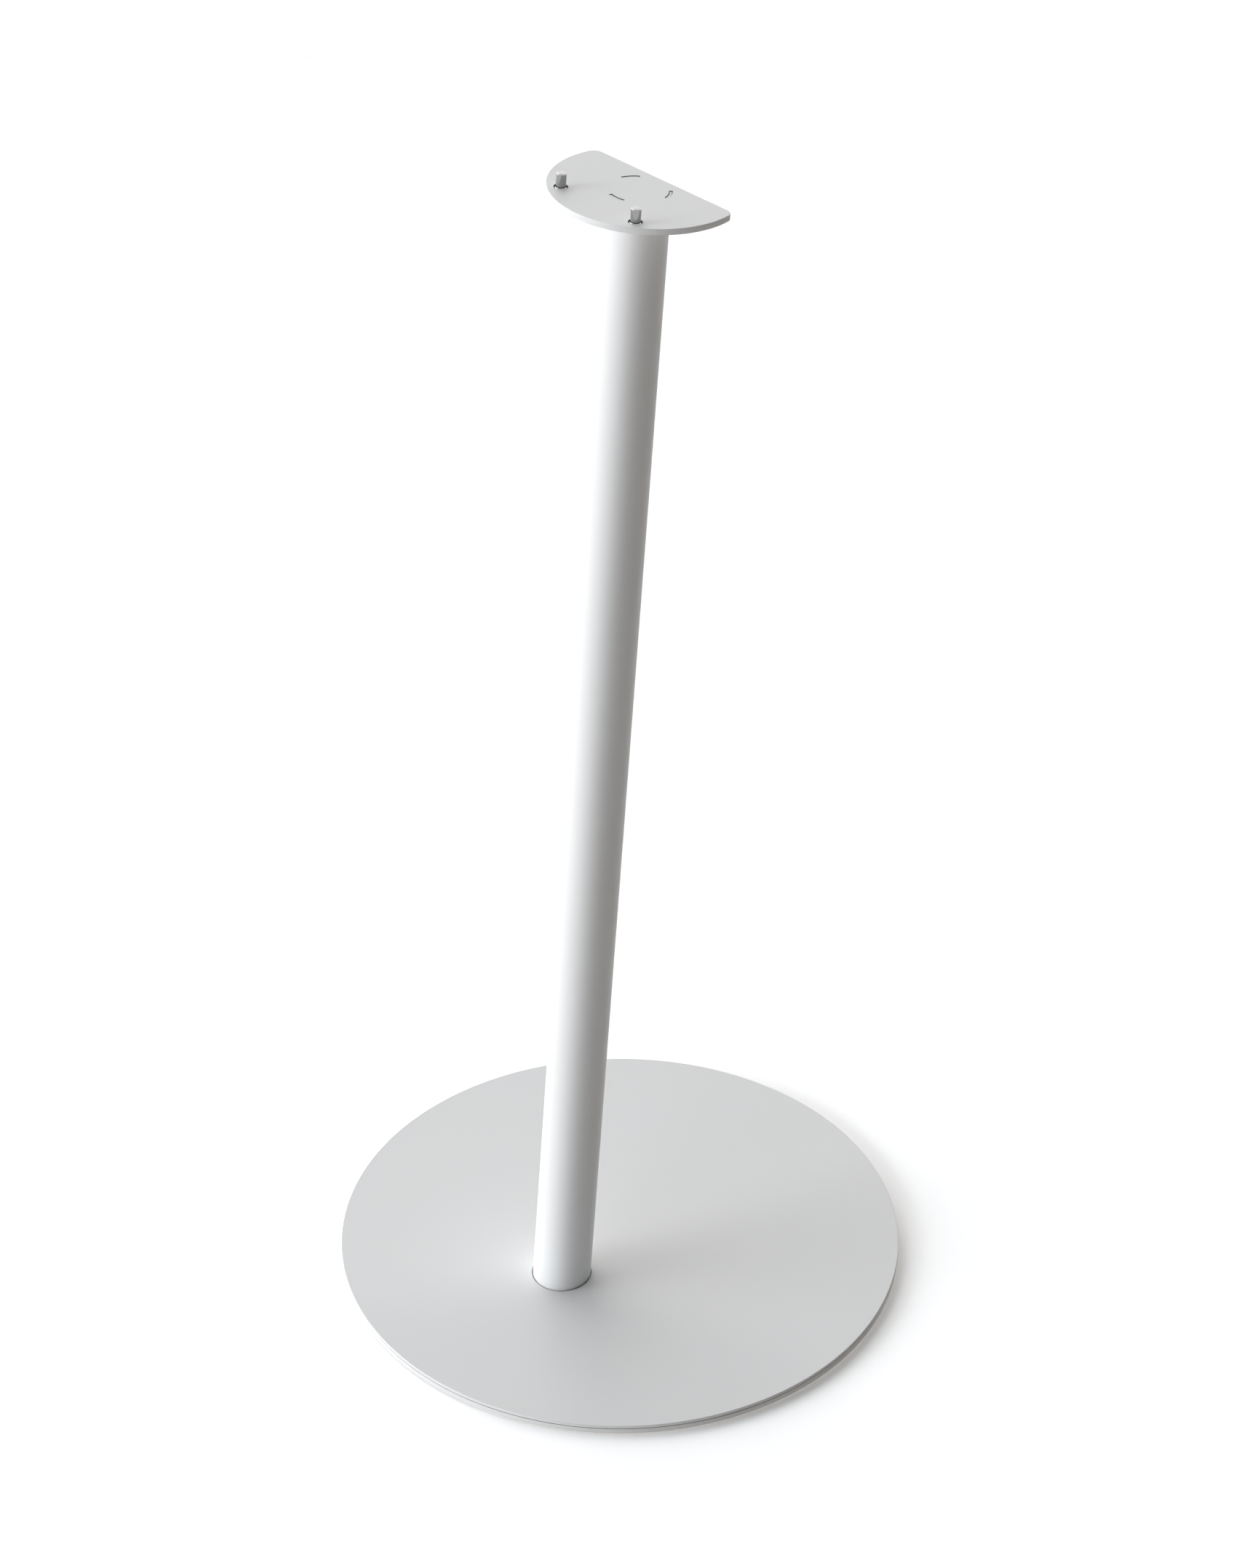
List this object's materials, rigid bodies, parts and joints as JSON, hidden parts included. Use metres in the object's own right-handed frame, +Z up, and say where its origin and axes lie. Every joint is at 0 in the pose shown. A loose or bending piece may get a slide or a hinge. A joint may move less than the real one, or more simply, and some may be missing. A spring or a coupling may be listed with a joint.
{
  "type": "speaker stand",
  "caption": "Floor stand for a small loudspeaker: round two-layer steel base, slim tube leaning back, and a D-shaped plate with upright speaker screws.",
  "frame": {"origin": "middle of the round base, on the floor", "axes": "+Z up; -Y towards the front, where the curved side of the top plate and the speaker screws are; +Y towards the back, where its straight edge is; +X to the right seen from the front"},
  "size_m": [0.39, 0.39, 0.8333],
  "materials": {
    "white_powder_coat": "satin white powder coat, very fine texture",
    "polished_steel": "polished stainless steel, turned",
    "zinc_steel": "bright zinc plate, satin",
    "bare_steel": "machined steel, oiled",
    "rubber": "matte dark grey rubber",
    "bond_film": "dark adhesive foam film"
  },
  "bodies": {
    "stand": {"top_plate": "white_powder_coat", "column_tube": "white_powder_coat", "base_cover": "white_powder_coat", "base_plate": "white_powder_coat", "bond_film": "bond_film", "foot_plug": "bare_steel", "column_bolt_1": "zinc_steel", "column_bolt_2": "zinc_steel", "column_bolt_3": "zinc_steel", "floor_pad_1": "rubber", "floor_pad_2": "rubber", "floor_pad_3": "rubber", "floor_pad_4": "rubber", "floor_pad_5": "rubber", "floor_pad_6": "rubber", "floor_pad_7": "rubber", "floor_pad_8": "rubber", "grip_ring_left": "rubber", "grip_ring_right": "rubber"},
    "left_screw": {"speaker_screw_left": "polished_steel"},
    "right_screw": {"speaker_screw_right": "polished_steel"}
  },
  "joints": [
    {"name": "left_screw_turn", "type": "hinge", "parent": "stand", "child": "left_screw", "pos_m": [-0.0315, -0.01756, 0.82217], "axis": [0, 0.0906, 0.9959], "continuous": true},
    {"name": "right_screw_turn", "type": "hinge", "parent": "stand", "child": "right_screw", "pos_m": [0.0315, -0.01756, 0.82217], "axis": [0, 0.0906, 0.9959], "continuous": true}
  ]
}
